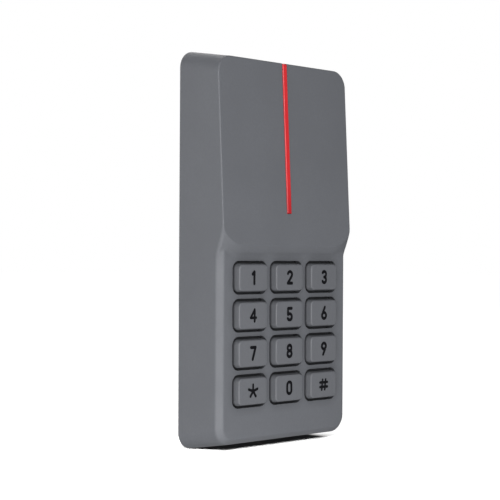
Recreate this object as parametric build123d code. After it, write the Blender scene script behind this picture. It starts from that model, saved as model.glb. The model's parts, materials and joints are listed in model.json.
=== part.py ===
from build123d import *
import os
from math import atan2, cos, degrees, hypot, radians, sin

# Wall-mounted RFID card reader with a twelve-key pad and a red light bar.
#
# Millimetres. X is the reader's width, Z is up, and the front faces -Y.
# The origin is the centre of the rear face, where the reader meets the wall.
# "Depth" is the distance in front of that wall, so depth d lies at y = -d.
# A place given as a pair is (x, z). A size given as three numbers is (width, height, depth).

# ---------------------------------------------------------------- housing
WIDTH, HEIGHT = 68.0, 145.0
CORNER_R = 6.3
WALL = 2.2
END_SLOPE = 0.1654                # top and bottom walls lean in by this per mm of depth
FAR = 90.0                        # past the housing in every direction
MAX_DEPTH = 26.0                  # past the deepest point of the front

KEYPAD_DEPTH = 21.38              # outer face around the keys
KEYPAD_CHAMFER = 2.0
KEYPAD_WALL = 2.4
PAD_TOP_Z, PAD_TOP_DEPTH = 69.22, 19.83       # card pad: tilted upper face
PAD_FOOT_Z, PAD_FOOT_DEPTH = 1.8, 23.42
PAD_CORNER_R = 10.0
PAD_OVERHANG = 0.15               # pad outline reaches past the side walls before trimming
PAD_WALL_RUN = 1.8                # the step's wall leans out by this per mm of depth
PAD_EDGE_R = 0.45
RIM_R = 1.5                       # between the keypad's face and its chamfer
SHOULDER_R = 1.2                  # between the chamfer and the side walls
STEP_BLEND_R = 3.0

INNER_FRONT = KEYPAD_DEPTH - KEYPAD_WALL
ROOM_INSET = WALL + 0.6           # the room behind the card pad clears the side walls

# ---------------------------------------------------------------- keys
COLUMNS = 3
COLUMN_PITCH, ROW_PITCH = 18.92, 13.54
WELL_W, WELL_H, WELL_R = 17.5, 12.05, 3.0
TOP_WELL_Z = -3.82
KEY_GAP_X, KEY_GAP_Z = 1.0, 0.9   # between key and well
KEY_RISE = 1.9
KEY_LEAN_X, KEY_LEAN_Z = 0.7, 0.4 # how far the key's sides lean in over that rise
KEY_EDGE_R = 0.55
KEY_FACE_DEPTH = KEYPAD_DEPTH + KEY_RISE
FLANGE_W, FLANGE_H, FLANGE_T, FLANGE_R = 18.4, 12.9, 1.0, 1.6
FLANGE_CLEARANCE = 0.1
STEM_W, STEM_H, STEM_CLEARANCE = 6.0, 4.0, 0.05
KEY_NAMES = ["1", "2", "3", "4", "5", "6", "7", "8", "9", "star", "0", "hash"]

# ---------------------------------------------------------------- characters
ENGRAVING, PAINT = 0.5, 0.42
STROKE, FINE_STROKE = 1.15, 1.0   # digits, and star, hash and four
TALL = 2.12                       # half height of a digit's centre line
ROUND = 1.12                      # radius of a round digit's centre line
STAR_ARMS, STAR_REACH = 5, 2.3
HASH_REACH_X, HASH_REACH_Z = 2.05, 1.85
HASH_GAP, HASH_LEAN = 0.85, 0.25  # half the strokes' spacing, and the uprights' slant
ARC_STEPS = 8

# ---------------------------------------------------------------- light bar
BAR_W, BAR_GAP = 2.5, 0.12
BAR_PROUD, BAR_EDGE_R = 0.3, 0.4
SLOT_FOOT_Z = 13.5
BAR_FOOT_Z = SLOT_FOOT_Z + BAR_GAP
BAR_FLANGE_W, BAR_FLANGE_T = 6.0, 0.8
BAR_FLANGE_GAP = 0.05             # between the flange and the wall in front of it
BAR_FLANGE_TOP_Z, BAR_FLANGE_FOOT_Z = PAD_TOP_Z - 3.5, BAR_FOOT_Z - 1.5

# ---------------------------------------------------------------- layers, as depths
PLATE_T = 1.5
COVER_BACK, COVER_FRONT = 2.2, 4.2
LEDGE_BACK, LEDGE_FRONT, LEDGE_W = 5.0, 6.6, 1.6
BOARD_BACK, BOARD_FRONT = 11.4, 13.0
WEB_FRONT = 13.8                  # silicone web on the board's front
DOME_FRONT, DOME_TIP = 16.4, 0.8
PILL_FRONT, PILL_T, PILL_R = 14.8, 0.8, 2.0
COIL_BACK, COIL_FRONT = 13.8, 15.9

# ---------------------------------------------------------------- screws and bosses
COVER_SCREWS = [(sx * 28.6, sz * 66.9) for sx in (-1, 1) for sz in (-1, 1)]
COVER_BOSS_R, COVER_PILOT_R, COVER_PILOT_FRONT = 3.4, 1.25, 14.0
COVER_HOLE_R, COVER_SINK_R, COVER_SINK_FOOT_R, SINK_DEPTH = 1.35, 2.5, 1.3, 1.2
COVER_HEAD_R, COVER_SHANK_R, COVER_SCREW_FRONT = 2.4, 1.2, 12.0
BOARD_SCREWS = [(sx * 26.5, z) for sx in (-1, 1) for z in (58.0, -60.0)]
BOARD_BOSS_R, BOARD_PILOT_R, BOARD_PILOT_FRONT = 2.6, 1.2, 17.0
BOARD_HEAD_R, BOARD_HEAD_T, BOARD_SHANK_R, BOARD_SCREW_FRONT = 2.3, 1.5, 1.1, 16.5
BOARD_HOLE_R = 1.4
RECESS_LENGTH, RECESS_WIDTH, RECESS_DEPTH = 2.4, 0.6, 0.8

# ---------------------------------------------------------------- wall plate and its lock
PLATE_INSET, PLATE_HEIGHT, PLATE_R = WALL + 0.5, HEIGHT - 5.9, 3.6
WINDOW, WINDOW_R = 34.0, 5.0
WALL_HOLES_X, WALL_HOLES_Z, WALL_HOLE_R = 40.0, 100.0, 2.1
BOX_HOLES_Z = 60.0
HOOKS_X, HOOK_W, HOOK_T, HOOK_FRONT = 14.0, 8.0, 1.2, 5.7
HOOK_STEM_Z, HOOK_LIP_Z, HOOK_LIP_H = 63.6, 64.3, 2.6
HOOK_WINDOW = (9.6, 4.2)
HOOK_WINDOW_Z = 64.5
LUG_Z, LUG_W, LUG_T, LUG_OVERREACH = -64.25, 12.0, 1.5, 2.6
LUG_WINDOW, LUG_WINDOW_Z = (13.6, 5.4), -63.3
LOCK_SCREW_DEPTH = 7.2
LOCK_SEAT_Z = -69.9               # where the locking screw's head seats
LOCK_BORE_R, LOCK_COUNTERBORE_R, LOCK_BORE_TOP_Z = 1.7, 3.1, -65.0
LOCK_BOSS = (10.0, 6.0, 5.8)
LOCK_BOSS_Z = -69.2
LOCK_HEAD_R, LOCK_HEAD_T, LOCK_SHANK_R, LOCK_TIP_Z = 2.8, 1.2, 1.5, -60.8
LOCK_SOCKET_R, LOCK_SOCKET_DEPTH = 1.2, 0.8
LUG_HOLE_R, NUT_R, NUT_T, NUT_BORE_R = 1.65, 2.9, 2.2, 1.55

# ---------------------------------------------------------------- cover, gasket and grommet
COVER_CLEARANCE = 0.25
COVER_RIBS_Z, COVER_RIB = (-36.0, 20.0), (50.0, 1.2, 1.2)
GASKET_INSET, GASKET_EAR_R, GASKET_HOLE_R = WALL + 0.3, 3.3, 1.5
CABLE_Z, CABLE_R = 0.0, 3.0
GROMMET_NECK_R, GROMMET_LIP_R, GROMMET_BACK, GROMMET_FRONT = 5.5, 7.0, 1.0, 5.6
SENSOR_AT, SENSOR_R, SENSOR_T = (20.0, 40.0), 2.5, 2.5
SENSOR_COVER_HOLE_R, SENSOR_PLATE_HOLE_R = 2.2, 3.5

# ---------------------------------------------------------------- board parts
BOARD_W, BOARD_H, BOARD_R = 59.6, 125.0, 2.0
MAT_W, MAT_H, MAT_R, MAT_Z = 56.8, 54.8, 2.0, -29.8
DOME_R, DOME_TIP_R, DOME_HOLLOW_R, DOME_HOLLOW_TIP_R = 4.8, 3.2, 4.3, 2.5
CONTACT_R, CONTACT_T, CONTACT_SPLIT = 2.6, 0.1, 0.4
COIL_Z, COIL_W, COIL_H, COIL_RIM = 40.0, 45.4, 39.4, 1.7
FORMER_W, FORMER_H, FORMER_RIM, FORMER_LIP_T = 46.0, 40.0, 4.0, 0.8
FORMER_CORE_W, FORMER_CORE_H, FORMER_CORE_RIM = 42.0, 36.0, 2.0
CONTROLLER_AT, CONTROLLER_W, CONTROLLER_T = (0.0, -46.0), 7.0, 1.5
CONTROLLER_LEGS, LEG_PITCH, LEG_W, LEG_T, LEG_REACH = 8, 0.8, 0.3, 0.6, 9.0
CHIP_LIFT = 0.1
READER_CHIP_AT, READER_CHIP = (-12.0, 40.0), (5.0, 4.0, 1.5)
READER_LEGS_Z, READER_LEG = (-1.9, -0.6, 0.6, 1.9), (6.2, 0.4, 0.6)
CRYSTAL_AT, CRYSTAL = (13.0, -46.0), (11.0, 4.5, 3.5)
RELAY_AT, RELAY = (-17.0, -26.0), (14.0, 9.0, 5.4)
BUZZER_AT, BUZZER_R, BUZZER_T, BUZZER_MOUTH_R, BUZZER_MOUTH_DEPTH = (-17.0, 42.0), 6.0, 5.0, 1.2, 2.0
CONNECTOR_WAYS, CONNECTOR_PITCH, CONNECTOR_Z = 8, 2.5, 27.0
CONNECTOR_H, CONNECTOR_T, CONNECTOR_WALL, CONNECTOR_FLOOR = 5.8, 5.8, 0.8, 1.2
PIN_W, PIN_REACH = 0.64, 5.0
CAPACITORS_X, CAPACITOR_Z, CAPACITOR_R, CAPACITOR_T = (10.0, 19.0), -16.0, 3.15, 5.4
CAPACITOR_FOOT_W, CAPACITOR_FOOT_T = 6.6, 0.8
INDUCTOR_AT, INDUCTOR_W, INDUCTOR_T, INDUCTOR_R = (17.0, -30.0), 7.0, 3.0, 1.5
INDUCTOR_WELL_R, INDUCTOR_WELL_DEPTH = 1.8, 0.6
REGULATOR_AT, REGULATOR = (4.0, -30.0), (6.5, 3.5, 1.7)
REGULATOR_LEGS_X, REGULATOR_LEG = (-2.3, 0.0, 2.3), (0.7, 6.8, 0.5)
DIODES_X, DIODE_Z, DIODE = (-20.0, 20.0), 16.0, (4.6, 2.6, 2.2)
LED_HEIGHTS, LED = (29.0, 40.0, 51.0), (2.8, 3.5, 1.9)


# ---------------------------------------------------------------- drawing helpers
def at_depth(depth):
    """Sketch plane facing the front: local x is X and local y is Z."""
    return Plane(origin=(0, -depth, 0), x_dir=(1, 0, 0), z_dir=(0, -1, 0))


def slab(sketch, back, front):
    """The sketch made solid between two depths."""
    return extrude(at_depth(back) * sketch, front - back)


def rod(x, z, radius, back, front):
    return slab(Pos(x, z) * Circle(radius), back, front)


def block(x, z, width, height, back, front):
    return slab(Pos(x, z) * Rectangle(width, height), back, front)


def behind_board(place, size, lift=0.0):
    """Block that stands off the board's rear side."""
    width, height, thickness = size
    return block(*place, width, height, BOARD_BACK - thickness, BOARD_BACK - lift)


def upright(depth, radius, low, high, x=0.0):
    """Cylinder standing along Z at a depth."""
    return Pos(x, -depth, (low + high) / 2) * Cylinder(radius, high - low)


def side_slab(depth_z_points, width, x=0.0):
    """A side profile, given as (depth, z) points, made solid across the width."""
    profile = Polyline(*[(x - width / 2, -d, z) for d, z in depth_z_points], close=True)
    return extrude(make_face(profile), width, dir=(1, 0, 0))


def tapered(sections):
    """Ruled solid through (depth, sketch) pairs."""
    return loft([at_depth(depth) * sketch for depth, sketch in sections], ruled=True)


def cone(x, z, back, back_radius, front, front_radius):
    return tapered([(back, Pos(x, z) * Circle(back_radius)), (front, Pos(x, z) * Circle(front_radius))])


def cross_recess():
    return Rectangle(RECESS_LENGTH, RECESS_WIDTH) + Rectangle(RECESS_WIDTH, RECESS_LENGTH)


# ---------------------------------------------------------------- outer shape
def half_height(depth):
    return HEIGHT / 2 - END_SLOPE * depth


def outline(depth, inset=0.0):
    """The housing's rounded outline at a depth, moved in by an inset."""
    return RectangleRounded(WIDTH - 2 * inset, 2 * (half_height(depth) - inset), CORNER_R - inset)


def outline_block(back, front, inset=0.0):
    """The housing's outline made solid between two depths."""
    return tapered([(d, outline(d, inset)) for d in (back, front)])


def pad_depth(z, behind=0.0):
    """Depth of the tilted card pad's face at a height."""
    slope = (PAD_FOOT_DEPTH - PAD_TOP_DEPTH) / (PAD_TOP_Z - PAD_FOOT_Z)
    return PAD_FOOT_DEPTH - slope * (z - PAD_FOOT_Z) - behind


def behind_pad_face(behind=0.0):
    """Everything behind the tilted face, from above the top to below the foot."""
    reach = -5.0
    points = [(reach, FAR), (pad_depth(FAR, behind), FAR), (pad_depth(-FAR, behind), -FAR), (reach, -FAR)]
    return side_slab(points, 2 * WIDTH)


def pad_footprint(depth):
    """Pad outline whose walls lean out towards the wall."""
    grow = PAD_WALL_RUN * (PAD_FOOT_DEPTH - depth)
    top = FAR + 2 * grow
    foot = PAD_FOOT_Z - grow
    return Pos(0, (top + foot) / 2) * RectangleRounded(
        WIDTH + 2 * (PAD_OVERHANG + grow), top - foot, PAD_CORNER_R + grow
    )


def outer_shape():
    """Housing as a full solid: chamfered keypad block, and the card pad with its leaning step."""
    shoulder = KEYPAD_DEPTH - KEYPAD_CHAMFER
    keypad = outline_block(0, shoulder)
    keypad += tapered([(shoulder, outline(shoulder)), (KEYPAD_DEPTH, outline(shoulder, KEYPAD_CHAMFER))])
    pad_front, pad_back = 25.0, 8.0
    pad = tapered([(d, pad_footprint(d)) for d in (pad_front, pad_back)])
    return (keypad + (outline_block(0, MAX_DEPTH) & pad)) & behind_pad_face()


def along(edge):
    """Start, middle and end of an edge."""
    return [edge @ t for t in (0, 0.5, 1)]


def is_on_pad_face(edge):
    foot = PAD_FOOT_Z - 0.1
    return all(abs(-p.Y - pad_depth(p.Z)) < 0.02 and p.Z > foot for p in along(edge))


def is_at_step_foot(edge):
    """Where the pad's leaning wall lands on the keypad face and its chamfers."""
    low, high = KEYPAD_DEPTH - KEYPAD_CHAMFER - 0.05, KEYPAD_DEPTH + 0.02
    return all(low < -p.Y < high and TOP_WELL_Z < p.Z < PAD_FOOT_Z for p in along(edge))


def is_below_step(edge, depth):
    """Level edges of the keypad's front at a depth, beside and below the keys."""
    points = along(edge)
    return all(abs(-p.Y - depth) < 1e-3 for p in points) and points[1].Z < TOP_WELL_Z


def softened(shape):
    """The chamfer's two soft edges, the sweep at the foot of the step and the pad's fine edge."""
    rounds = [
        (RIM_R, lambda e: is_below_step(e, KEYPAD_DEPTH)),
        (STEP_BLEND_R, is_at_step_foot),
        (SHOULDER_R, lambda e: is_below_step(e, KEYPAD_DEPTH - KEYPAD_CHAMFER)),
        (PAD_EDGE_R, is_on_pad_face),
    ]
    solid = shape.solids()[0]
    for radius, chosen in rounds:
        solid = solid.fillet(radius, [e for e in solid.edges() if chosen(e)])
    return solid


def key_positions():
    """Key name and well centre, row by row from the top left."""
    for index, name in enumerate(KEY_NAMES):
        row, column = divmod(index, COLUMNS)
        x = (column - (COLUMNS - 1) / 2) * COLUMN_PITCH
        z = TOP_WELL_Z - WELL_H / 2 - row * ROW_PITCH
        yield name, x, z


# ---------------------------------------------------------------- casing
def light_slot():
    """Slot in the pad, open at the top edge."""
    middle, height = (FAR + SLOT_FOOT_Z) / 2, FAR - SLOT_FOOT_Z
    past_wall = WALL + 0.5
    return block(0, middle, BAR_W, height, PAD_TOP_DEPTH - 2 * WALL, FAR) - behind_pad_face(past_wall)


def rear_ledge():
    """Rim inside the walls that the back cover's gasket presses on."""
    ledge = outline_block(LEDGE_BACK, LEDGE_FRONT, WALL / 2)
    return ledge - outline_block(LEDGE_BACK - 1, LEDGE_FRONT + 1, WALL + LEDGE_W)


def room():
    """The hollow behind the keys and, further forward, behind the card pad."""
    hollow = outline_block(-1, INNER_FRONT, WALL)
    pad_room = outline_block(INNER_FRONT - 1, MAX_DEPTH, WALL) & behind_pad_face(WALL)
    foot = PAD_FOOT_Z + WALL
    behind_pad = block(0, (foot + FAR) / 2, WIDTH - 2 * ROOM_INSET, FAR - foot, 0, MAX_DEPTH)
    return hollow + (pad_room & behind_pad)


def front_housing():
    outer = softened(outer_shape())
    body = outer - room() + rear_ledge()
    for x, z in COVER_SCREWS:
        body += rod(x, z, COVER_BOSS_R, LEDGE_BACK, INNER_FRONT + 1) & outer & behind_pad_face(1)
    for x, z in BOARD_SCREWS:
        body += rod(x, z, BOARD_BOSS_R, BOARD_FRONT, INNER_FRONT + 1) & behind_pad_face(1)
    width, height, thickness = LOCK_BOSS
    body += block(0, LOCK_BOSS_Z, width, height, LEDGE_BACK, LEDGE_BACK + thickness) & outer
    for x, z in COVER_SCREWS:
        body -= rod(x, z, COVER_PILOT_R, LEDGE_BACK - 1, COVER_PILOT_FRONT)
    for x, z in BOARD_SCREWS:
        body -= rod(x, z, BOARD_PILOT_R, BOARD_FRONT - 1, BOARD_PILOT_FRONT)
    for _, x, z in key_positions():
        well = Pos(x, z) * RectangleRounded(WELL_W, WELL_H, WELL_R)
        body -= slab(well, INNER_FRONT - 1, KEYPAD_DEPTH + 1)
    body -= light_slot()
    below = -HEIGHT / 2 - 1
    body -= upright(LOCK_SCREW_DEPTH, LOCK_BORE_R, below, LOCK_BORE_TOP_Z)
    return body - upright(LOCK_SCREW_DEPTH, LOCK_COUNTERBORE_R, below, LOCK_SEAT_Z)


def light_bar():
    """Red diffuser: a rounded rib that fills the slot and a flange behind the wall."""
    width = BAR_W - 2 * BAR_GAP
    rib = block(0, (FAR + BAR_FOOT_Z) / 2, width, FAR - BAR_FOOT_Z, 10, FAR)
    rib = rib & behind_pad_face(-BAR_PROUD) & outline_block(0, MAX_DEPTH, BAR_GAP)
    rib -= behind_pad_face(WALL + BAR_GAP)
    rib = rib.solids()[0]
    front_edges = [
        e for e in rib.edges()
        if all(abs(-p.Y - pad_depth(p.Z, -BAR_PROUD)) < 0.02 for p in along(e))
    ]
    rib = rib.fillet(BAR_EDGE_R, front_edges)
    middle = (BAR_FLANGE_TOP_Z + BAR_FLANGE_FOOT_Z) / 2
    flange = block(0, middle, BAR_FLANGE_W, BAR_FLANGE_TOP_Z - BAR_FLANGE_FOOT_Z, 10, FAR)
    flange = flange & behind_pad_face(WALL + BAR_FLANGE_GAP)
    flange -= behind_pad_face(WALL + BAR_FLANGE_T)
    return rib + flange


def back_cover():
    body = outline_block(COVER_BACK, COVER_FRONT, WALL + COVER_CLEARANCE)
    for x, z in COVER_SCREWS:
        body -= rod(x, z, COVER_HOLE_R, 0, LEDGE_BACK)
        body -= cone(x, z, COVER_BACK, COVER_SINK_R, COVER_BACK + SINK_DEPTH, COVER_SINK_FOOT_R)
    body -= rod(0, CABLE_Z, GROMMET_NECK_R, 0, LEDGE_BACK)
    body -= rod(*SENSOR_AT, SENSOR_COVER_HOLE_R, 0, LEDGE_BACK)
    for x in (-HOOKS_X, HOOKS_X):
        body -= block(x, HOOK_WINDOW_Z, *HOOK_WINDOW, 0, LEDGE_BACK)
    body -= block(0, LUG_WINDOW_Z, *LUG_WINDOW, 0, LEDGE_BACK)
    width, height, thickness = COVER_RIB
    for z in COVER_RIBS_Z:
        body += block(0, z, width, height, COVER_FRONT, COVER_FRONT + thickness)
    return body


def rear_gasket():
    """Flat seal between the cover and the ledge, with an ear round each cover screw."""
    ring = outline(COVER_FRONT, GASKET_INSET)
    for x, z in COVER_SCREWS:
        ring += Pos(x, z) * Circle(GASKET_EAR_R)
    body = slab(ring, COVER_FRONT, LEDGE_BACK) & outline_block(0, LEDGE_FRONT, GASKET_INSET)
    opening = slab(outline(COVER_FRONT, WALL + LEDGE_W), 0, LEDGE_FRONT)
    for x, z in COVER_SCREWS:
        opening -= rod(x, z, GASKET_EAR_R, 0, LEDGE_FRONT)
    body -= opening
    for x, z in COVER_SCREWS:
        body -= rod(x, z, GASKET_HOLE_R, 0, LEDGE_FRONT)
    return body


def back_cover_screws():
    group = []
    recess_front = COVER_BACK + RECESS_DEPTH
    for x, z in COVER_SCREWS:
        screw = cone(x, z, COVER_BACK, COVER_HEAD_R, COVER_BACK + SINK_DEPTH, COVER_SHANK_R)
        screw += rod(x, z, COVER_SHANK_R, COVER_BACK + SINK_DEPTH, COVER_SCREW_FRONT)
        group.append(screw - slab(Pos(x, z) * cross_recess(), 0, recess_front))
    return Compound(children=group)


# ---------------------------------------------------------------- wall plate
def wall_plate():
    """Steel plate with a cable window, fixing holes, two top hooks and a lug for the locking screw."""
    sketch = RectangleRounded(WIDTH - 2 * PLATE_INSET, PLATE_HEIGHT, PLATE_R)
    sketch -= Pos(0, CABLE_Z) * RectangleRounded(WINDOW, WINDOW, WINDOW_R)
    for x in (-WALL_HOLES_X / 2, WALL_HOLES_X / 2):
        for z in (-WALL_HOLES_Z / 2, WALL_HOLES_Z / 2):
            sketch -= Pos(x, z) * Circle(WALL_HOLE_R)
    for z in (-BOX_HOLES_Z / 2, BOX_HOLES_Z / 2):
        sketch -= Pos(0, z) * Circle(WALL_HOLE_R)
    sketch -= Pos(*SENSOR_AT) * Circle(SENSOR_PLATE_HOLE_R)
    body = slab(sketch, 0, PLATE_T)
    for x in (-HOOKS_X, HOOKS_X):
        body += block(x, HOOK_STEM_Z, HOOK_W, HOOK_T, 0, HOOK_FRONT)
        body += block(x, HOOK_LIP_Z, HOOK_W, HOOK_LIP_H, HOOK_FRONT - HOOK_T, HOOK_FRONT)
    body += block(0, LUG_Z, LUG_W, LUG_T, 0, LOCK_SCREW_DEPTH + LUG_OVERREACH)
    return body - upright(LOCK_SCREW_DEPTH, LUG_HOLE_R, LUG_Z - LUG_T, LUG_Z + LUG_T)


def hexagon_prism(radius, low, height):
    """Hexagonal column on the locking screw's axis."""
    return extrude(Plane.XY.offset(low) * (Pos(0, -LOCK_SCREW_DEPTH) * RegularPolygon(radius, 6)), height)


def plate_nut():
    low = LUG_Z + LUG_T / 2
    return hexagon_prism(NUT_R, low, NUT_T) - upright(LOCK_SCREW_DEPTH, NUT_BORE_R, low - 1, low + 2 * NUT_T)


def security_screw():
    head_low = LOCK_SEAT_Z - LOCK_HEAD_T
    screw = upright(LOCK_SCREW_DEPTH, LOCK_HEAD_R, head_low, LOCK_SEAT_Z)
    screw += upright(LOCK_SCREW_DEPTH, LOCK_SHANK_R, LOCK_SEAT_Z, LOCK_TIP_Z)
    return screw - hexagon_prism(LOCK_SOCKET_R, head_low, LOCK_SOCKET_DEPTH)


def cable_grommet():
    body = rod(0, CABLE_Z, GROMMET_LIP_R, GROMMET_BACK, COVER_BACK)
    body += rod(0, CABLE_Z, GROMMET_NECK_R, COVER_BACK, COVER_FRONT)
    body += rod(0, CABLE_Z, GROMMET_LIP_R, COVER_FRONT, GROMMET_FRONT)
    return body - rod(0, CABLE_Z, CABLE_R, 0, 2 * GROMMET_FRONT)


# ---------------------------------------------------------------- characters
def line_stroke(x0, z0, x1, z1, width=STROKE):
    length = hypot(x1 - x0, z1 - z0)
    turn = degrees(atan2(z1 - z0, x1 - x0))
    return Pos((x0 + x1) / 2, (z0 + z1) / 2) * Rot(0, 0, turn) * SlotCenterToCenter(length, width)


def arc_stroke(x, z, radius, start, sweep, width=STROKE):
    """Round stroke from a start angle through a sweep, with round ends."""
    ring = Circle(radius + width / 2) - Circle(radius - width / 2)
    if abs(sweep) < 360:
        reach = 4 * radius
        angles = [radians(start + sweep * i / ARC_STEPS) for i in range(ARC_STEPS + 1)]
        fan = [(0, 0)] + [(reach * cos(a), reach * sin(a)) for a in angles]
        ring = ring & make_face(Polyline(*fan, close=True))
        for angle in (angles[0], angles[-1]):
            ring += Pos(radius * cos(angle), radius * sin(angle)) * Circle(width / 2)
    return Pos(x, z) * ring


def star_strokes():
    """Arms from the centre, the first one upright."""
    turns = [radians(90 + 360 * i / STAR_ARMS) for i in range(STAR_ARMS)]
    return [line_stroke(0, 0, STAR_REACH * cos(a), STAR_REACH * sin(a), FINE_STROKE) for a in turns]


def hash_strokes():
    sides = (-HASH_GAP, HASH_GAP)
    uprights = [
        line_stroke(x - HASH_LEAN, -HASH_REACH_Z, x + HASH_LEAN, HASH_REACH_Z, FINE_STROKE) for x in sides
    ]
    bars = [line_stroke(-HASH_REACH_X, z, HASH_REACH_X, z, FINE_STROKE) for z in sides]
    return uprights + bars


def digit_strokes(name):
    """Centre-line strokes of a generic narrow digit."""
    upper, lower = TALL - ROUND, ROUND - TALL
    bend = radians(32)            # where the two's neck leaves its bowl
    bar = -0.8                    # height of the four's bar
    if name == "1":
        return [line_stroke(0.35, -TALL, 0.35, TALL), line_stroke(0.35, TALL, -0.5, 1.3)]
    if name == "2":
        return [
            arc_stroke(0, upper, ROUND, -degrees(bend), 180 + degrees(bend) - 20),
            line_stroke(ROUND * cos(bend), upper - ROUND * sin(bend), -ROUND, -TALL),
            line_stroke(-ROUND, -TALL, ROUND, -TALL),
        ]
    if name == "3":
        half = TALL / 2
        return [arc_stroke(0, half, half, -90, 240), arc_stroke(0, -half, half, -150, 240)]
    if name == "4":
        return [
            line_stroke(0.6, TALL, -1.4, bar, FINE_STROKE),
            line_stroke(-1.4, bar, 1.35, bar, FINE_STROKE),
            line_stroke(0.6, TALL, 0.6, -TALL, FINE_STROKE),
        ]
    if name == "5":
        return [
            line_stroke(-0.9, TALL, 1.0, TALL),
            line_stroke(-0.9, TALL, -0.95, 0.15),
            arc_stroke(-0.05, -0.98, 1.14, -150, 285),
        ]
    if name == "6":
        return [arc_stroke(0, lower, ROUND, 0, 360), line_stroke(-ROUND + 0.1, -0.6, 0.4, TALL)]
    if name == "7":
        return [line_stroke(-ROUND, TALL, ROUND, TALL), line_stroke(ROUND, TALL, -0.3, -TALL)]
    if name == "8":
        return [arc_stroke(0, 1.12, 1.0, 0, 360), arc_stroke(0, -1.02, 1.1, 0, 360)]
    if name == "9":
        return [arc_stroke(0, upper, ROUND, 0, 360), line_stroke(ROUND - 0.1, 0.6, -0.4, -TALL)]
    return [
        arc_stroke(0, upper, ROUND, 0, 180),
        arc_stroke(0, lower, ROUND, 180, 180),
        line_stroke(-ROUND, lower, -ROUND, upper),
        line_stroke(ROUND, lower, ROUND, upper),
    ]


def glyph(name):
    if name == "star":
        strokes = star_strokes()
    elif name == "hash":
        strokes = hash_strokes()
    else:
        strokes = digit_strokes(name)
    shape = strokes[0]
    for stroke in strokes[1:]:
        shape += stroke
    return shape


# ---------------------------------------------------------------- keypad
def key(name, x, z):
    """Keycap that leans in above the panel, with a retaining flange and a stem behind it."""
    width, height = WELL_W - 2 * KEY_GAP_X, WELL_H - 2 * KEY_GAP_Z
    radius = WELL_R - KEY_GAP_X
    flange_front = INNER_FRONT - FLANGE_CLEARANCE
    flange_back = flange_front - FLANGE_T
    place = Pos(x, z)
    foot = place * RectangleRounded(width, height, radius)
    top = place * RectangleRounded(width - 2 * KEY_LEAN_X, height - 2 * KEY_LEAN_Z, radius - KEY_LEAN_Z)
    cap = tapered([(KEYPAD_DEPTH, foot), (KEY_FACE_DEPTH, top)]).solids()[0]
    cap = cap.fillet(KEY_EDGE_R, [e for e in cap.edges() if abs(-e.center().Y - KEY_FACE_DEPTH) < 1e-3])
    body = cap + slab(foot, flange_front, KEYPAD_DEPTH)
    body += slab(place * RectangleRounded(FLANGE_W, FLANGE_H, FLANGE_R), flange_back, flange_front)
    body += block(x, z, STEM_W, STEM_H, DOME_FRONT + STEM_CLEARANCE, flange_back)
    return body - slab(place * glyph(name), KEY_FACE_DEPTH - ENGRAVING, KEY_FACE_DEPTH + 1)


def legend(name, x, z):
    """Black paint that fills the engraved character almost to the key's face."""
    floor = KEY_FACE_DEPTH - ENGRAVING
    return slab(Pos(x, z) * glyph(name), floor, floor + PAINT)


def keypad_membrane():
    """Silicone mat with a hollow dome under each key."""
    body = slab(Pos(0, MAT_Z) * RectangleRounded(MAT_W, MAT_H, MAT_R), BOARD_FRONT, WEB_FRONT)
    tip_back = DOME_FRONT - DOME_TIP
    for _, x, z in key_positions():
        body += cone(x, z, WEB_FRONT, DOME_R, tip_back, DOME_TIP_R)
        body += rod(x, z, DOME_TIP_R, tip_back, DOME_FRONT)
        body -= cone(x, z, BOARD_FRONT, DOME_HOLLOW_R, PILL_FRONT, DOME_HOLLOW_TIP_R)
    return body


def contact_pills():
    """Carbon pads under the domes."""
    back = PILL_FRONT - PILL_T
    return Compound(children=[rod(x, z, PILL_R, back, PILL_FRONT) for _, x, z in key_positions()])


def key_contacts():
    """Split round pads that the carbon pads bridge."""
    front = BOARD_FRONT + CONTACT_T
    group = []
    for _, x, z in key_positions():
        split = block(x, z, CONTACT_SPLIT, 3 * CONTACT_R, BOARD_BACK, front + 1)
        group.append(rod(x, z, CONTACT_R, BOARD_FRONT, front) - split)
    return Compound(children=group)


# ---------------------------------------------------------------- electronics
def main_board():
    sketch = RectangleRounded(BOARD_W, BOARD_H, BOARD_R)
    for x, z in BOARD_SCREWS:
        sketch -= Pos(x, z) * Circle(BOARD_HOLE_R)
    return slab(sketch, BOARD_BACK, BOARD_FRONT)


def board_screws():
    group = []
    head_back = BOARD_BACK - BOARD_HEAD_T
    for x, z in BOARD_SCREWS:
        screw = rod(x, z, BOARD_HEAD_R, head_back, BOARD_BACK)
        screw += rod(x, z, BOARD_SHANK_R, BOARD_BACK, BOARD_SCREW_FRONT)
        group.append(screw - slab(Pos(x, z) * cross_recess(), head_back - 1, head_back + RECESS_DEPTH))
    return Compound(children=group)


def ring_slab(width, height, rim, back, front, radius=3.0):
    """Rectangular ring round the reading area's centre."""
    sketch = RectangleRounded(width, height, radius)
    sketch -= RectangleRounded(width - 2 * rim, height - 2 * rim, radius / 2)
    return slab(Pos(0, COIL_Z) * sketch, back, front)


def coil_former():
    body = ring_slab(FORMER_W, FORMER_H, FORMER_RIM, BOARD_FRONT, COIL_BACK)
    body += ring_slab(FORMER_CORE_W, FORMER_CORE_H, FORMER_CORE_RIM, COIL_BACK, COIL_FRONT)
    return body + ring_slab(FORMER_W, FORMER_H, FORMER_RIM, COIL_FRONT, COIL_FRONT + FORMER_LIP_T)


def antenna_coil():
    return ring_slab(COIL_W, COIL_H, COIL_RIM, COIL_BACK, COIL_FRONT)


def microcontroller():
    x, z = CONTROLLER_AT
    body = behind_board(CONTROLLER_AT, (CONTROLLER_W, CONTROLLER_W, CONTROLLER_T), CHIP_LIFT)
    for i in range(CONTROLLER_LEGS):
        offset = (i - (CONTROLLER_LEGS - 1) / 2) * LEG_PITCH
        body += behind_board((x + offset, z), (LEG_W, LEG_REACH, LEG_T))
        body += behind_board((x, z + offset), (LEG_REACH, LEG_W, LEG_T))
    return body


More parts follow.
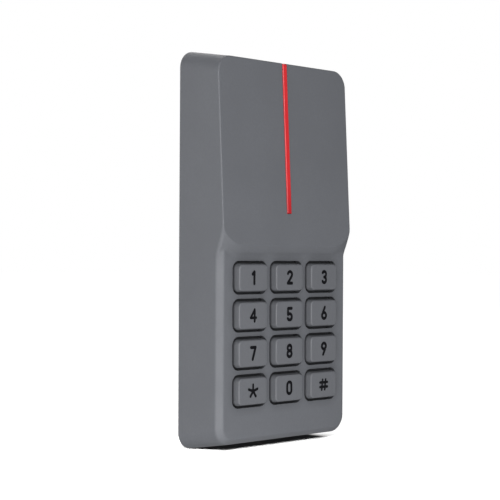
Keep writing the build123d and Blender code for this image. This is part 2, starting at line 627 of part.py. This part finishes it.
def reader_chip():
    x, z = READER_CHIP_AT
    width, height, thickness = READER_CHIP
    body = block(x, z, width, height, BOARD_FRONT + CHIP_LIFT, BOARD_FRONT + thickness)
    width, height, thickness = READER_LEG
    for offset in READER_LEGS_Z:
        body += block(x, z + offset, width, height, BOARD_FRONT, BOARD_FRONT + thickness)
    return body


def crystal():
    length, width, thickness = CRYSTAL
    return slab(Pos(*CRYSTAL_AT) * SlotOverall(length, width), BOARD_BACK - thickness, BOARD_BACK)


def relay():
    return behind_board(RELAY_AT, RELAY)


def buzzer():
    back = BOARD_BACK - BUZZER_T
    mouth = rod(*BUZZER_AT, BUZZER_MOUTH_R, back - 1, back + BUZZER_MOUTH_DEPTH)
    return rod(*BUZZER_AT, BUZZER_R, back, BOARD_BACK) - mouth


def wire_connector():
    """Open-topped header that the cable's plug pushes into."""
    length = CONNECTOR_WAYS * CONNECTOR_PITCH + 2
    body = behind_board((0, CONNECTOR_Z), (length, CONNECTOR_H, CONNECTOR_T))
    inside = (length - 2 * CONNECTOR_WALL, CONNECTOR_H - 2 * CONNECTOR_WALL, CONNECTOR_T + 1)
    return body - behind_board((0, CONNECTOR_Z), inside, CONNECTOR_FLOOR)


def connector_pins():
    columns = [(i - (CONNECTOR_WAYS - 1) / 2) * CONNECTOR_PITCH for i in range(CONNECTOR_WAYS)]
    size = (PIN_W, PIN_W, PIN_REACH)
    return Compound(children=[behind_board((x, CONNECTOR_Z), size, CONNECTOR_FLOOR) for x in columns])


def capacitors():
    group = []
    foot_back = BOARD_BACK - CAPACITOR_FOOT_T
    for x in CAPACITORS_X:
        can = rod(x, CAPACITOR_Z, CAPACITOR_R, BOARD_BACK - CAPACITOR_T, foot_back)
        foot = (CAPACITOR_FOOT_W, CAPACITOR_FOOT_W, CAPACITOR_FOOT_T)
        group.append(can + behind_board((x, CAPACITOR_Z), foot))
    return Compound(children=group)


def power_inductor():
    back = BOARD_BACK - INDUCTOR_T
    core = slab(Pos(*INDUCTOR_AT) * RectangleRounded(INDUCTOR_W, INDUCTOR_W, INDUCTOR_R), back, BOARD_BACK)
    return core - rod(*INDUCTOR_AT, INDUCTOR_WELL_R, back - 1, back + INDUCTOR_WELL_DEPTH)


def voltage_regulator():
    x, z = REGULATOR_AT
    body = behind_board(REGULATOR_AT, REGULATOR, CHIP_LIFT)
    for offset in REGULATOR_LEGS_X:
        body += behind_board((x + offset, z), REGULATOR_LEG)
    return body


def surge_diodes():
    return Compound(children=[behind_board((x, DIODE_Z), DIODE) for x in DIODES_X])


def tamper_sensor():
    """Light sensor that looks at the wall through the cover."""
    return rod(*SENSOR_AT, SENSOR_R, BOARD_BACK - SENSOR_T, BOARD_BACK)


def light_bar_leds():
    width, height, thickness = LED
    front = BOARD_FRONT + thickness
    return Compound(children=[block(0, z, width, height, BOARD_FRONT, front) for z in LED_HEIGHTS])


SUBPARTS = {
    "front_housing": front_housing,
    "light_bar": light_bar,
    "back_cover": back_cover,
    "rear_gasket": rear_gasket,
    "back_cover_screws": back_cover_screws,
    "wall_plate": wall_plate,
    "plate_nut": plate_nut,
    "security_screw": security_screw,
    "cable_grommet": cable_grommet,
    "keypad_membrane": keypad_membrane,
    "contact_pills": contact_pills,
    "key_contacts": key_contacts,
    "main_board": main_board,
    "board_screws": board_screws,
    "coil_former": coil_former,
    "antenna_coil": antenna_coil,
    "microcontroller": microcontroller,
    "reader_chip": reader_chip,
    "crystal": crystal,
    "relay": relay,
    "buzzer": buzzer,
    "wire_connector": wire_connector,
    "connector_pins": connector_pins,
    "capacitors": capacitors,
    "power_inductor": power_inductor,
    "voltage_regulator": voltage_regulator,
    "surge_diodes": surge_diodes,
    "tamper_sensor": tamper_sensor,
    "light_bar_leds": light_bar_leds,
}


def main():
    os.makedirs("parts", exist_ok=True)
    for node, make in SUBPARTS.items():
        export_step(make(), f"parts/{node}.step")
    for name, x, z in key_positions():
        export_step(key(name, x, z), f"parts/key_{name}.step")
        export_step(legend(name, x, z), f"parts/legend_{name}.step")


main()
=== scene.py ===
import json
import math

import bpy
from mathutils import Matrix, Vector


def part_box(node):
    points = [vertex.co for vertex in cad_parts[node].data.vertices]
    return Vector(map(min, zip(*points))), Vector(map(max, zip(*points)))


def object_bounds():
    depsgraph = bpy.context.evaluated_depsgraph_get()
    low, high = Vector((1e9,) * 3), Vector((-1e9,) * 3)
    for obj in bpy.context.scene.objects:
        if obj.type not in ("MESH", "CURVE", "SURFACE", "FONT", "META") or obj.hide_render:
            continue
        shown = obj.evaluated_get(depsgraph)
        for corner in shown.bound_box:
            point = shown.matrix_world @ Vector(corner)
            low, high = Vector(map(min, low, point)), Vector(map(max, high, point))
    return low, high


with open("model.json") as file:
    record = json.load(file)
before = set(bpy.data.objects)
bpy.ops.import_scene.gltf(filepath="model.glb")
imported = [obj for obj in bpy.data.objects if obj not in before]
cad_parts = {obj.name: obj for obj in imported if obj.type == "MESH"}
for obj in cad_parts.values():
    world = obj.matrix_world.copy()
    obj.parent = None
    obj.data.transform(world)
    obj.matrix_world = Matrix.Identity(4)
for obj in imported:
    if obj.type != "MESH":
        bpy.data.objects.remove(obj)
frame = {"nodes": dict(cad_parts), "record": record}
cad_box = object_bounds()

MM = 0.001                        # every length below is in metres
NODES = frame["nodes"]
SLOT_OF = {part["node"]: part["material_slot"] for part in frame["record"]["subparts"]}

# ---------------------------------------------------------------- view
CAMERA_AT = Vector((-364.41, -365.91, -2.12)) * MM
CAMERA_YAW, CAMERA_PITCH, CAMERA_ROLL = (math.radians(a) for a in (45.07, 0.26, 0.314))
SENSOR_MM = 36.0
LENS_MM = 97.76

# ---------------------------------------------------------------- light
BACKGROUND = 1.0                  # what the camera sees behind the object
FROM_BELOW, FROM_ABOVE = 0.26, 0.08
HORIZON = 0.5                     # height of a direction at which these are reached

# Name, azimuth and elevation in degrees, distance, width and height in metres, brightness.
SOFTBOXES = [
    ("front_softbox", -24, 14, 0.8, 0.5, 0.5, 0.6),
    ("low_softbox", -35, -42, 0.26, 0.2, 0.2, 0.38),
    ("side_softbox", -108, 6, 1.1, 0.5, 0.9, 0.4),
    ("back_softbox", 150, 30, 1.2, 0.9, 0.9, 0.6),
]
EDGE_SOFTBOX = ("edge_softbox", -45, 3, 0.9, 0.2, 0.6, 0.36)
EDGE_DIFFUSE = 0.1                # share of the edge softbox that lights flat ground
FLOOR_LAMP = ("floor_lamp", -47, 8.5, 0.45, 0.06, 0.06, 70.0)

FLOOR_SIZE = 8.0
FLOOR_GREY = 0.06                 # so dim that only the floor lamp turns it white
FLOOR_GLOW = 1.0                  # of its own, away from the object
PAINTED_SHADOW_REACH = 30 * MM             # how far from the object the painted contact shadow on that glow reaches
GLOW_FROM, GLOW_TO = 0.3, 0.8     # share of open sky where the glow starts, and where it is full; less open sky gives a painted shadow

# ---------------------------------------------------------------- places the finishes need
PANEL_Y = -21.38 * MM             # the face around the keys
SKIRT_SHADE_FADE = 1.0 * MM             # how far behind it the keys' sides turn dark: painted shade in the gaps round the keys
CAPACITOR_FOOT = 0.8 * MM         # thickness of the black base under each can
SKIN = 0.05 * MM                  # a face and what lies just behind it
EPOXY = (0.02, 0.02, 0.021)       # colour of a black package


# ================================================================ camera, stage and light
def add_camera():
    """A camera turned by yaw, pitch and roll from looking along +Y."""
    data = bpy.data.cameras.new("view_camera")
    data.lens, data.sensor_width = LENS_MM, SENSOR_MM
    data.clip_start, data.clip_end = 0.01, 30.0
    ahead = Vector((
        math.sin(CAMERA_YAW) * math.cos(CAMERA_PITCH),
        math.cos(CAMERA_YAW) * math.cos(CAMERA_PITCH),
        math.sin(CAMERA_PITCH),
    ))
    level_right = ahead.cross(Vector((0, 0, 1))).normalized()
    level_up = level_right.cross(ahead)
    c, s = math.cos(CAMERA_ROLL), math.sin(CAMERA_ROLL)
    right = c * level_right + s * level_up
    up = c * level_up - s * level_right
    turn = Matrix((right, up, -ahead)).transposed()
    camera = bpy.data.objects.new("view_camera", data)
    camera.matrix_world = Matrix.Translation(CAMERA_AT) @ turn.to_4x4()
    bpy.context.scene.collection.objects.link(camera)
    bpy.context.scene.camera = camera


def softbox(name, azimuth, elevation, distance, width, height, brightness):
    """A rectangular lamp that faces the object. Azimuth 0 is in front of it, at -Y, and 90 at +X.

    Brightness 1 lights a surface that faces the lamp as strongly as an all-white world does.
    """
    data = bpy.data.lights.new(name, "AREA")
    data.shape = "RECTANGLE"
    data.size, data.size_y = width, height
    data.energy = brightness * (math.pi * distance) ** 2
    a, e = math.radians(azimuth), math.radians(elevation)
    place = distance * Vector((math.sin(a) * math.cos(e), -math.cos(a) * math.cos(e), math.sin(e)))
    lamp = bpy.data.objects.new(name, data)
    lamp.location = place
    lamp.rotation_euler = (-place).to_track_quat("-Z", "Y").to_euler()
    bpy.context.scene.collection.objects.link(lamp)
    return lamp


def add_lights():
    for lamp in SOFTBOXES:
        softbox(*lamp)
    edge = softbox(*EDGE_SOFTBOX)
    edge.data.diffuse_factor = EDGE_DIFFUSE


def add_world():
    """White for the camera. For the object, an even light that is stronger from below."""
    world = bpy.data.worlds.new("studio")
    world.use_nodes = True
    tree = world.node_tree
    shade = tree.nodes["Background"]
    direction = tree.nodes.new("ShaderNodeTexCoord")
    parts = tree.nodes.new("ShaderNodeSeparateXYZ")
    height = tree.nodes.new("ShaderNodeMapRange")
    height.inputs["From Min"].default_value = -HORIZON
    height.inputs["From Max"].default_value = HORIZON
    height.inputs["To Min"].default_value = FROM_BELOW
    height.inputs["To Max"].default_value = FROM_ABOVE
    path = tree.nodes.new("ShaderNodeLightPath")
    strength = tree.nodes.new("ShaderNodeMapRange")
    strength.inputs["To Max"].default_value = BACKGROUND
    tree.links.new(direction.outputs["Generated"], parts.inputs["Vector"])
    tree.links.new(parts.outputs["Z"], height.inputs["Value"])
    tree.links.new(height.outputs["Result"], strength.inputs["To Min"])
    tree.links.new(path.outputs["Is Camera Ray"], strength.inputs["Value"])
    tree.links.new(strength.outputs["Result"], shade.inputs["Strength"])
    shade.inputs["Color"].default_value = (1, 1, 1, 1)
    bpy.context.scene.world = world


def add_floor():
    """A white light table with a lamp of its own, dark where that lamp's light is blocked and, near the
    object, where a painted contact shadow dims its glow.

    It neither lights the object nor keeps light from below away from it.
    """
    half = FLOOR_SIZE / 2
    low = cad_box[0][2]
    corners = [(x, y, low) for x, y in ((-half, -half), (half, -half), (half, half), (-half, half))]
    mesh = bpy.data.meshes.new("floor")
    mesh.from_pydata(corners, [], [(0, 1, 2, 3)])
    floor = bpy.data.objects.new("floor", mesh)
    bpy.context.scene.collection.objects.link(floor)
    material = bpy.data.materials.new("light_table")
    material.use_nodes = True
    tree = material.node_tree
    shader = tree.nodes["Principled BSDF"]
    shader.inputs["Base Color"].default_value = (FLOOR_GREY, FLOOR_GREY, FLOOR_GREY, 1)
    shader.inputs["Roughness"].default_value = 1.0
    shader.inputs["Specular IOR Level"].default_value = 0.0
    shader.inputs["Emission Color"].default_value = (1, 1, 1, 1)
    # Painted contact shadow: the table's glow fades where the object closes off the sky.
    closed_off = tree.nodes.new("ShaderNodeAmbientOcclusion")
    closed_off.samples = 32
    closed_off.inputs["Distance"].default_value = PAINTED_SHADOW_REACH
    glow_with_painted_shadow = tree.nodes.new("ShaderNodeMapRange")
    glow_with_painted_shadow.interpolation_type = "SMOOTHSTEP"
    glow_with_painted_shadow.inputs["From Min"].default_value = GLOW_FROM
    glow_with_painted_shadow.inputs["From Max"].default_value = GLOW_TO
    glow_with_painted_shadow.inputs["To Max"].default_value = FLOOR_GLOW
    tree.links.new(closed_off.outputs["AO"], glow_with_painted_shadow.inputs["Value"])
    tree.links.new(glow_with_painted_shadow.outputs["Result"], shader.inputs["Emission Strength"])
    mesh.materials.append(material)
    floor.visible_diffuse = False
    floor.visible_glossy = False
    floor.visible_shadow = False
    lamp = softbox(*FLOOR_LAMP)
    lit = bpy.data.collections.new("lit_by_floor_lamp")
    lit.objects.link(floor)
    lamp.light_linking.receiver_collection = lit


# ================================================================ materials
class Finish:
    """A procedural material under construction: its nodes and its main shader."""

    def __init__(self, name, colour, roughness, **sockets):
        self.material = bpy.data.materials.new(name)
        self.material.use_nodes = True
        self.tree = self.material.node_tree
        self.shader = self.tree.nodes["Principled BSDF"]
        self.place = self.node("TexCoord").outputs["Object"]
        self.set(self.shader, {"Base Color": (*colour, 1), "Roughness": roughness, **sockets})
        self.normal = None

    def fill(self, socket, value):
        """Links another node's output to a socket, or sets its plain value."""
        if isinstance(value, bpy.types.NodeSocket):
            self.tree.links.new(value, socket)
        else:
            socket.default_value = value

    def set(self, node, inputs):
        for name, value in inputs.items():
            self.fill(node.inputs[name], value)

    def node(self, kind, inputs=None, **settings):
        made = self.tree.nodes.new("ShaderNode" + kind)
        for name, value in settings.items():
            setattr(made, name, value)
        self.set(made, inputs or {})
        return made

    def math(self, operation, a, b=0.0):
        made = self.node("Math", operation=operation)
        for socket, value in zip(made.inputs, (a, b)):
            self.fill(socket, value)
        return made.outputs[0]

    def axis(self, letter):
        """The place along one axis, in metres."""
        return self.node("SeparateXYZ", {"Vector": self.place}).outputs[letter]

    def off_centre(self, letter, middle):
        """Distance from a middle along one axis, in metres."""
        return self.math("ABSOLUTE", self.math("SUBTRACT", self.axis(letter), middle))

    def past(self, letter, middle, reach):
        """How far beyond a reach either side of the middle, and negative within it."""
        return self.math("SUBTRACT", self.off_centre(letter, middle), reach)

    def stretched(self, x, y, z):
        """Coordinates scaled along each axis, for brushed or drawn marks."""
        return self.node("Mapping", {"Vector": self.place, "Scale": (x, y, z)}).outputs[0]

    def noise(self, size, detail=2.0, place=None, rough=0.5):
        """Noise from 0 to 1 whose blobs are about this size across."""
        return self.node("TexNoise", {
            "Vector": place or self.place, "Scale": 0.6 / size, "Detail": detail, "Roughness": rough,
        }).outputs["Fac"]

    def cells(self, size):
        """Distance within cells about this size across, as a share of that size."""
        return self.node("TexVoronoi", {"Vector": self.place, "Scale": 1 / size}).outputs[0]

    def remap(self, value, low, high, to_low=0.0, to_high=1.0):
        return self.node("MapRange", {
            "Value": value, "From Min": low, "From Max": high, "To Min": to_low, "To Max": to_high,
        }).outputs["Result"]

    def mix(self, factor, a, b):
        """A colour between two, each an RGB tuple or a socket."""
        made = self.node("Mix", data_type="RGBA")
        for socket, value in zip((made.inputs[0], made.inputs[6], made.inputs[7]), (factor, a, b)):
            self.fill(socket, (*value, 1) if isinstance(value, tuple) else value)
        return made.outputs[2]

    def soften(self, radius):
        """Shades every edge as if rounded to this radius."""
        self.normal = self.node("Bevel", {"Radius": radius}, samples=8).outputs["Normal"]

    def bump(self, height, depth):
        """Raises the surface by up to depth where height is 1."""
        inputs = {"Height": height, "Distance": depth, "Strength": 1.0}
        if self.normal is not None:
            inputs["Normal"] = self.normal
        self.normal = self.node("Bump", inputs).outputs["Normal"]

    def edge_mask(self, radius):
        """1 on outer and inner edges, 0 on flat ground."""
        rounded = self.node("Bevel", {"Radius": radius}, samples=6).outputs["Normal"]
        flat = self.node("NewGeometry").outputs["Normal"]
        facing = self.node("VectorMath", {0: rounded, 1: flat}, operation="DOT_PRODUCT").outputs["Value"]
        return self.remap(facing, 0.995, 0.85)

    def hollow_mask(self, distance, shallow=0.75, deep=0.1, samples=8):
        """1 deep in a gap or corner, 0 in the open: the mask used to paint shade there."""
        open_sky = self.node("AmbientOcclusion", {"Distance": distance}, samples=samples).outputs["AO"]
        return self.remap(open_sky, shallow, deep)

    def outside(self, centre, width, height):
        """1 beyond a rectangle round a centre (x, z), and 0 within it."""
        x_past = self.past("X", centre[0], width / 2)
        z_past = self.past("Z", centre[1], height / 2)
        return self.math("GREATER_THAN", self.math("MAXIMUM", x_past, z_past), 0.0)

    def done(self, colour=None, roughness=None, metallic=None):
        for name, value in (("Base Color", colour), ("Roughness", roughness), ("Metallic", metallic)):
            if value is not None:
                self.set(self.shader, {name: value})
        if self.normal is not None:
            self.set(self.shader, {"Normal": self.normal})
        return self.material


def shade(colour, factor):
    return tuple(c * factor for c in colour)


def moulded(name, colour, roughness, grain, grain_depth, edge_radius, gap, shaded_skirt=False):
    """Spark-textured moulding: fine grain, cloudy colour, rubbed edges that also carry a painted highlight,
    painted shade in creases and gaps, and, if asked, painted shade on the sides behind the face.
    """
    f = Finish(name, colour, roughness)
    cloud = f.noise(14 * MM, 3)
    speck = f.noise(grain * 1.6, 2)
    f.soften(edge_radius)
    f.bump(f.noise(grain, 3), grain_depth)
    ground = f.mix(f.remap(cloud, 0.35, 0.65), shade(colour, 0.97), shade(colour, 1.03))
    ground = f.mix(f.remap(speck, 0.4, 0.6, 0, 0.5), ground, shade(colour, 0.93))
    # Edges turn lighter: partly rubbed wear, partly a painted highlight.
    rubbed = f.math("MULTIPLY", f.edge_mask(edge_radius), f.remap(f.noise(5 * MM, 4), 0.42, 0.6, 0.2, 0.9))
    ground = f.mix(rubbed, ground, shade(colour, 1.12))
    # Painted shade: creases turn darker.
    crease_shade = f.hollow_mask(3.5 * gap, 1.0, 0.9, 16)
    ground = f.mix(f.math("MULTIPLY", crease_shade, 0.4), ground, shade(colour, 0.5))
    # Painted shade: deep in gaps the colour turns nearly black.
    ground = f.mix(f.math("MULTIPLY", f.hollow_mask(gap), 0.7), ground, shade(colour, 0.12))
    # Painted shade: the keys' sides behind the face turn nearly black.
    if shaded_skirt:
        deep = f.remap(f.axis("Y"), PANEL_Y, PANEL_Y + SKIRT_SHADE_FADE, 0.0, 0.75)
        ground = f.mix(deep, ground, shade(colour, 0.12))
    rough = f.remap(f.noise(6 * MM, 4), 0.3, 0.7, roughness - 0.05, roughness + 0.06)
    return f.done(ground, rough)


def casing():
    return moulded("casing", (0.128, 0.134, 0.148), 0.55, 0.28 * MM, 0.022 * MM, 0.2 * MM, 1.2 * MM)


def key():
    return moulded("key", (0.128, 0.133, 0.146), 0.5, 0.22 * MM, 0.015 * MM, 0.2 * MM, 1.2 * MM, shaded_skirt=True)


def cover():
    return moulded("cover", (0.05, 0.052, 0.056), 0.6, 0.5 * MM, 0.03 * MM, 0.25 * MM, 2.0 * MM)


def legend():
    """Nearly black filling paint, slightly uneven where it has settled."""
    f = Finish("legend", (0.004, 0.004, 0.005), 0.38, **{"Specular IOR Level": 0.12})
    f.soften(0.2 * MM)
    f.bump(f.noise(0.5 * MM, 3), 0.02 * MM)
    return f.done(f.mix(f.noise(0.8 * MM, 2), (0.003, 0.003, 0.004), (0.008, 0.008, 0.01)))


def diffuser():
    """Frosted red light pipe: milky inside, with a faint painted glow, and painted shade making it deeper
    red towards its lower end.
    """
    f = Finish("diffuser", (0.56, 0.02, 0.026), 0.35, **{"Coat Weight": 0.2, "Coat Roughness": 0.2})
    # A faint painted glow: the bar gives off light of its own.
    f.set(f.shader, {"Emission Color": (0.9, 0.02, 0.02, 1), "Emission Strength": 0.05})
    # Painted shade: the colour darkens towards the bar's lower end.
    low = f.remap(f.axis("Z"), 26 * MM, 14 * MM)
    ground = f.mix(f.noise(4 * MM, 3), (0.56, 0.018, 0.024), (0.64, 0.024, 0.03))
    ground = f.mix(low, ground, (0.42, 0.012, 0.018))
    f.soften(0.15 * MM)
    f.bump(f.noise(0.25 * MM), 0.006 * MM)
    return f.done(ground, f.remap(f.noise(3 * MM, 3), 0.3, 0.7, 0.28, 0.42))


def foam():
    """Closed-cell foam: small pores of uneven size."""
    f = Finish("seal", (0.02, 0.02, 0.021), 0.92)
    f.bump(f.cells(0.35 * MM), 0.12 * MM)
    f.bump(f.noise(1.5 * MM, 3), 0.05 * MM)
    return f.done(f.mix(f.cells(0.35 * MM), (0.008, 0.008, 0.008), (0.032, 0.032, 0.034)))


def fastener():
    """Nickel plating with fine turned rings, scuffs, and painted shade in its recesses."""
    f = Finish("fastener", (0.62, 0.61, 0.58), 0.3, Metallic=1.0)
    f.soften(0.1 * MM)
    f.bump(f.noise(0.08 * MM, 2, f.stretched(1, 6, 1)), 0.008 * MM)
    scuffs = f.remap(f.noise(0.6 * MM, 5, rough=0.7), 0.45, 0.6)
    ground = f.mix(scuffs, (0.6, 0.59, 0.56), (0.7, 0.69, 0.67))
    # Painted shade in the recesses.
    ground = f.mix(f.hollow_mask(0.8 * MM), ground, (0.12, 0.115, 0.11))
    return f.done(ground, f.remap(scuffs, 0, 1, 0.26, 0.42))


def plate():
    """Zinc-plated sheet: large pale crystals crossed by faint rolling lines, rubbed at the edges, with
    painted shade in its hollows.
    """
    f = Finish("plate", (0.58, 0.58, 0.57), 0.36, Metallic=1.0)
    crystal = f.node("TexVoronoi", {"Vector": f.place, "Scale": 1 / (3.5 * MM)}).outputs["Color"]
    tone = f.node("SeparateColor", {"Color": crystal}).outputs[0]
    rolled = f.noise(0.15 * MM, 2, f.stretched(1, 1, 0.04))
    f.soften(0.2 * MM)
    f.bump(rolled, 0.006 * MM)
    f.bump(f.noise(2 * MM, 3), 0.03 * MM)
    ground = f.mix(tone, (0.5, 0.505, 0.51), (0.64, 0.64, 0.63))
    ground = f.mix(f.edge_mask(0.25 * MM), ground, (0.74, 0.74, 0.72))
    # Painted shade in the hollows.
    ground = f.mix(f.hollow_mask(2 * MM), ground, (0.2, 0.2, 0.2))
    return f.done(ground, f.remap(tone, 0, 1, 0.28, 0.46))


def silicone():
    """Milky grey rubber, slightly see-through, with painted shade in the corners."""
    f = Finish("silicone", (0.3, 0.31, 0.32), 0.58, **{
        "Subsurface Weight": 0.25, "Subsurface Radius": (0.4, 0.4, 0.4), "Subsurface Scale": 0.8 * MM,
    })
    f.soften(0.3 * MM)
    f.bump(f.noise(0.4 * MM, 3), 0.012 * MM)
    ground = f.mix(f.noise(6 * MM, 3), (0.27, 0.28, 0.29), (0.34, 0.35, 0.36))
    # Painted shade: corners turn darker.
    return f.done(f.mix(f.hollow_mask(1.5 * MM), ground, (0.2, 0.195, 0.185)))


def carbon():
    f = Finish("carbon", (0.012, 0.012, 0.012), 0.8)
    f.bump(f.noise(0.06 * MM, 4, rough=0.7), 0.02 * MM)
    return f.done(f.mix(f.noise(0.2 * MM, 3), (0.007, 0.007, 0.007), (0.022, 0.022, 0.023)))


def gold():
    """Plated contact, paler where it has been touched."""
    f = Finish("gold", (0.9, 0.62, 0.28), 0.25, Metallic=1.0)
    f.soften(0.04 * MM)
    f.bump(f.noise(0.12 * MM, 3), 0.004 * MM)
    touched = f.remap(f.noise(1.2 * MM, 4), 0.45, 0.62)
    return f.done(f.mix(touched, (0.9, 0.6, 0.26), (0.88, 0.68, 0.4)), f.remap(touched, 0, 1, 0.2, 0.38))


def board():
    """Green solder mask over copper tracks, and bare fibreglass on the cut edges."""
    f = Finish("board", (0.02, 0.1, 0.045), 0.35)
    upright = f.node("Mapping", {"Vector": f.place, "Rotation": (math.pi / 2, 0, 0)}).outputs[0]
    tracks = f.node("TexBrick", {
        "Vector": upright, "Scale": 1.0, "Brick Width": 7 * MM, "Row Height": 1.3 * MM,
        "Mortar Size": 0.14 * MM, "Mortar Smooth": 0.3, "Bias": 0.0,
    }, offset=0.37, squash=0.6).outputs["Fac"]
    planes = f.remap(f.noise(9 * MM, 1), 0.5, 0.52)
    copper = f.math("MAXIMUM", tracks, f.math("MULTIPLY", planes, 0.6))
    facing = f.node("SeparateXYZ", {"Vector": f.node("NewGeometry").outputs["Normal"]}).outputs["Y"]
    cut_edge = f.math("LESS_THAN", f.math("ABSOLUTE", facing), 0.5)
    f.soften(0.1 * MM)
    f.bump(copper, 0.03 * MM)
    f.bump(f.noise(0.3 * MM, 3), 0.006 * MM)
    ground = f.mix(copper, (0.012, 0.07, 0.03), (0.028, 0.16, 0.07))
    weave = f.remap(f.noise(0.2 * MM, 2, f.stretched(1, 8, 1)), 0.4, 0.6)
    ground = f.mix(cut_edge, ground, f.mix(weave, (0.3, 0.27, 0.14), (0.42, 0.38, 0.22)))
    return f.done(ground, f.remap(f.noise(2 * MM, 3), 0.3, 0.7, 0.28, 0.42))


def former():
    return moulded("former", (0.02, 0.02, 0.022), 0.5, 0.3 * MM, 0.015 * MM, 0.15 * MM, 1.0 * MM)


def copper():
    """Enamelled wire wound side by side: ridges that follow the coil's own outline, with painted shade in
    the grooves between turns.
    """
    f = Finish("copper", (0.75, 0.35, 0.2), 0.28, Metallic=1.0)
    low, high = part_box("antenna_coil")
    middle = [(a + b) / 2 for a, b in zip(low, high)]
    reach = [(b - a) / 2 for a, b in zip(low, high)]
    wire = 0.21 * MM
    turns = 2 * math.pi / wire
    inset = f.math("MAXIMUM", f.past("X", middle[0], reach[0]), f.past("Z", middle[2], reach[2]))
    across = f.math("SINE", f.math("MULTIPLY", inset, turns))
    along = f.math("SINE", f.math("MULTIPLY", f.axis("Y"), turns))
    ridge = f.remap(f.math("ADD", across, along), -1, 2)
    f.soften(0.15 * MM)
    f.bump(ridge, 0.08 * MM)
    # Painted shade: the grooves between turns are darker than the crests.
    ground = f.mix(ridge, (0.3, 0.1, 0.05), (0.8, 0.38, 0.22))
    ground = f.mix(f.noise(3 * MM, 3), ground, (0.66, 0.27, 0.14))
    return f.done(ground, f.remap(f.noise(1 * MM), 0.3, 0.7, 0.2, 0.36))


def epoxy(name, colour=EPOXY, roughness=0.5):
    """A moulded package under construction, and its colour: blasted top, paler edges."""
    f = Finish(name, colour, roughness)
    f.soften(0.12 * MM)
    f.bump(f.noise(0.09 * MM, 3), 0.008 * MM)
    ground = f.mix(f.noise(1.5 * MM, 3), shade(colour, 0.8), shade(colour, 1.3))
    ground = f.mix(f.edge_mask(0.12 * MM), ground, shade(colour, 2.2))
    return f, ground


def packaged(name, colour=EPOXY, roughness=0.5):
    f, ground = epoxy(name, colour, roughness)
    return f.done(ground, f.remap(f.noise(0.8 * MM, 3), 0.3, 0.7, roughness - 0.08, roughness + 0.08))


def leaded(name, body_width, body_height):
    """Black package whose tinned legs reach out past its body."""
    f, ground = epoxy(name)
    low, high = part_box(name)
    centre = ((low[0] + high[0]) / 2, (low[2] + high[2]) / 2)
    legs = f.outside(centre, body_width, body_height)
    tin = f.mix(f.noise(0.3 * MM, 3), (0.55, 0.55, 0.54), (0.7, 0.7, 0.69))
    return f.done(f.mix(legs, ground, tin), f.remap(legs, 0, 1, 0.5, 0.28), legs)


def can():
    """Drawn aluminium, brushed round, on a black base, with a dark mark on half of its top."""
    f = Finish("can", (0.72, 0.72, 0.71), 0.25, Metallic=1.0)
    low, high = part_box("capacitors")
    base = f.math("LESS_THAN", f.axis("Y"), low[1] + CAPACITOR_FOOT)
    top = f.math("GREATER_THAN", f.axis("Y"), high[1] - SKIN)
    marked = f.math("MULTIPLY", top, f.math("LESS_THAN", f.axis("Z"), (low[2] + high[2]) / 2 - 1 * MM))
    dark = f.math("MAXIMUM", base, marked)
    f.soften(0.25 * MM)
    f.bump(f.noise(0.1 * MM, 2, f.stretched(0.2, 1, 1)), 0.01 * MM)
    ground = f.mix(f.noise(1.2 * MM, 3), (0.66, 0.66, 0.65), (0.76, 0.76, 0.75))
    ground = f.mix(dark, ground, (0.015, 0.015, 0.016))
    return f.done(ground, f.remap(dark, 0, 1, 0.25, 0.5), f.remap(dark, 0, 1, 1, 0))


def tin():
    """Drawn steel can of the crystal, lightly brushed."""
    f = Finish("tin", (0.68, 0.68, 0.67), 0.28, Metallic=1.0)
    f.soften(0.3 * MM)
    f.bump(f.noise(0.12 * MM, 3, f.stretched(0.1, 1, 1)), 0.01 * MM)
    scuffs = f.remap(f.noise(0.8 * MM, 5, rough=0.7), 0.45, 0.62)
    return f.done(f.mix(scuffs, (0.6, 0.6, 0.59), (0.74, 0.74, 0.73)), f.remap(scuffs, 0, 1, 0.22, 0.4))


def led():
    """White package with a yellow phosphor window facing the light bar."""
    f = Finish("led", (0.8, 0.78, 0.74), 0.4)
    low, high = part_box("light_bar_leds")
    centre = (low[0] + high[0]) / 2
    window = f.math("LESS_THAN", f.off_centre("X", centre), 0.9 * MM)
    front = f.math("LESS_THAN", f.axis("Y"), low[1] + SKIN)
    f.soften(0.1 * MM)
    f.bump(f.noise(0.2 * MM, 3), 0.008 * MM)
    ground = f.mix(f.noise(0.6 * MM, 3), (0.76, 0.74, 0.7), (0.84, 0.82, 0.78))
    return f.done(f.mix(f.math("MULTIPLY", window, front), ground, (0.85, 0.55, 0.08)))


def finishes():
    """Material by slot, and by node where one piece needs its own."""
    by_slot = {
        "casing": casing(), "key": key(), "cover": cover(), "legend": legend(), "diffuser": diffuser(),
        "seal": foam(), "fastener": fastener(), "plate": plate(), "silicone": silicone(), "carbon": carbon(),
        "gold": gold(), "board": board(), "former": former(), "copper": copper(), "chip": packaged("chip"),
        "can": can(), "relay": packaged("relay", (0.02, 0.06, 0.2), 0.35),
        "buzzer": packaged("buzzer", (0.015, 0.015, 0.015), 0.4),
        "connector": packaged("connector", (0.03, 0.3, 0.12), 0.4),
        "ferrite": packaged("ferrite", (0.06, 0.055, 0.05), 0.65),
        "sensor": packaged("sensor", (0.02, 0.02, 0.03), 0.15), "led": led(),
    }
    by_node = {
        "microcontroller": leaded("microcontroller", 7 * MM, 7 * MM),
        "reader_chip": leaded("reader_chip", 5 * MM, 4 * MM),
        "voltage_regulator": leaded("voltage_regulator", 6.5 * MM, 3.5 * MM),
        "crystal": tin(),
    }
    return by_slot, by_node


def finish_nodes():
    by_slot, by_node = finishes()
    for name, node in NODES.items():
        for slot in node.material_slots:
            slot.material = by_node.get(name) or by_slot[SLOT_OF[name]]


# ================================================================ the scene
add_camera()
add_floor()
add_world()
add_lights()
finish_nodes()
bpy.context.scene.view_settings.view_transform = "Standard"
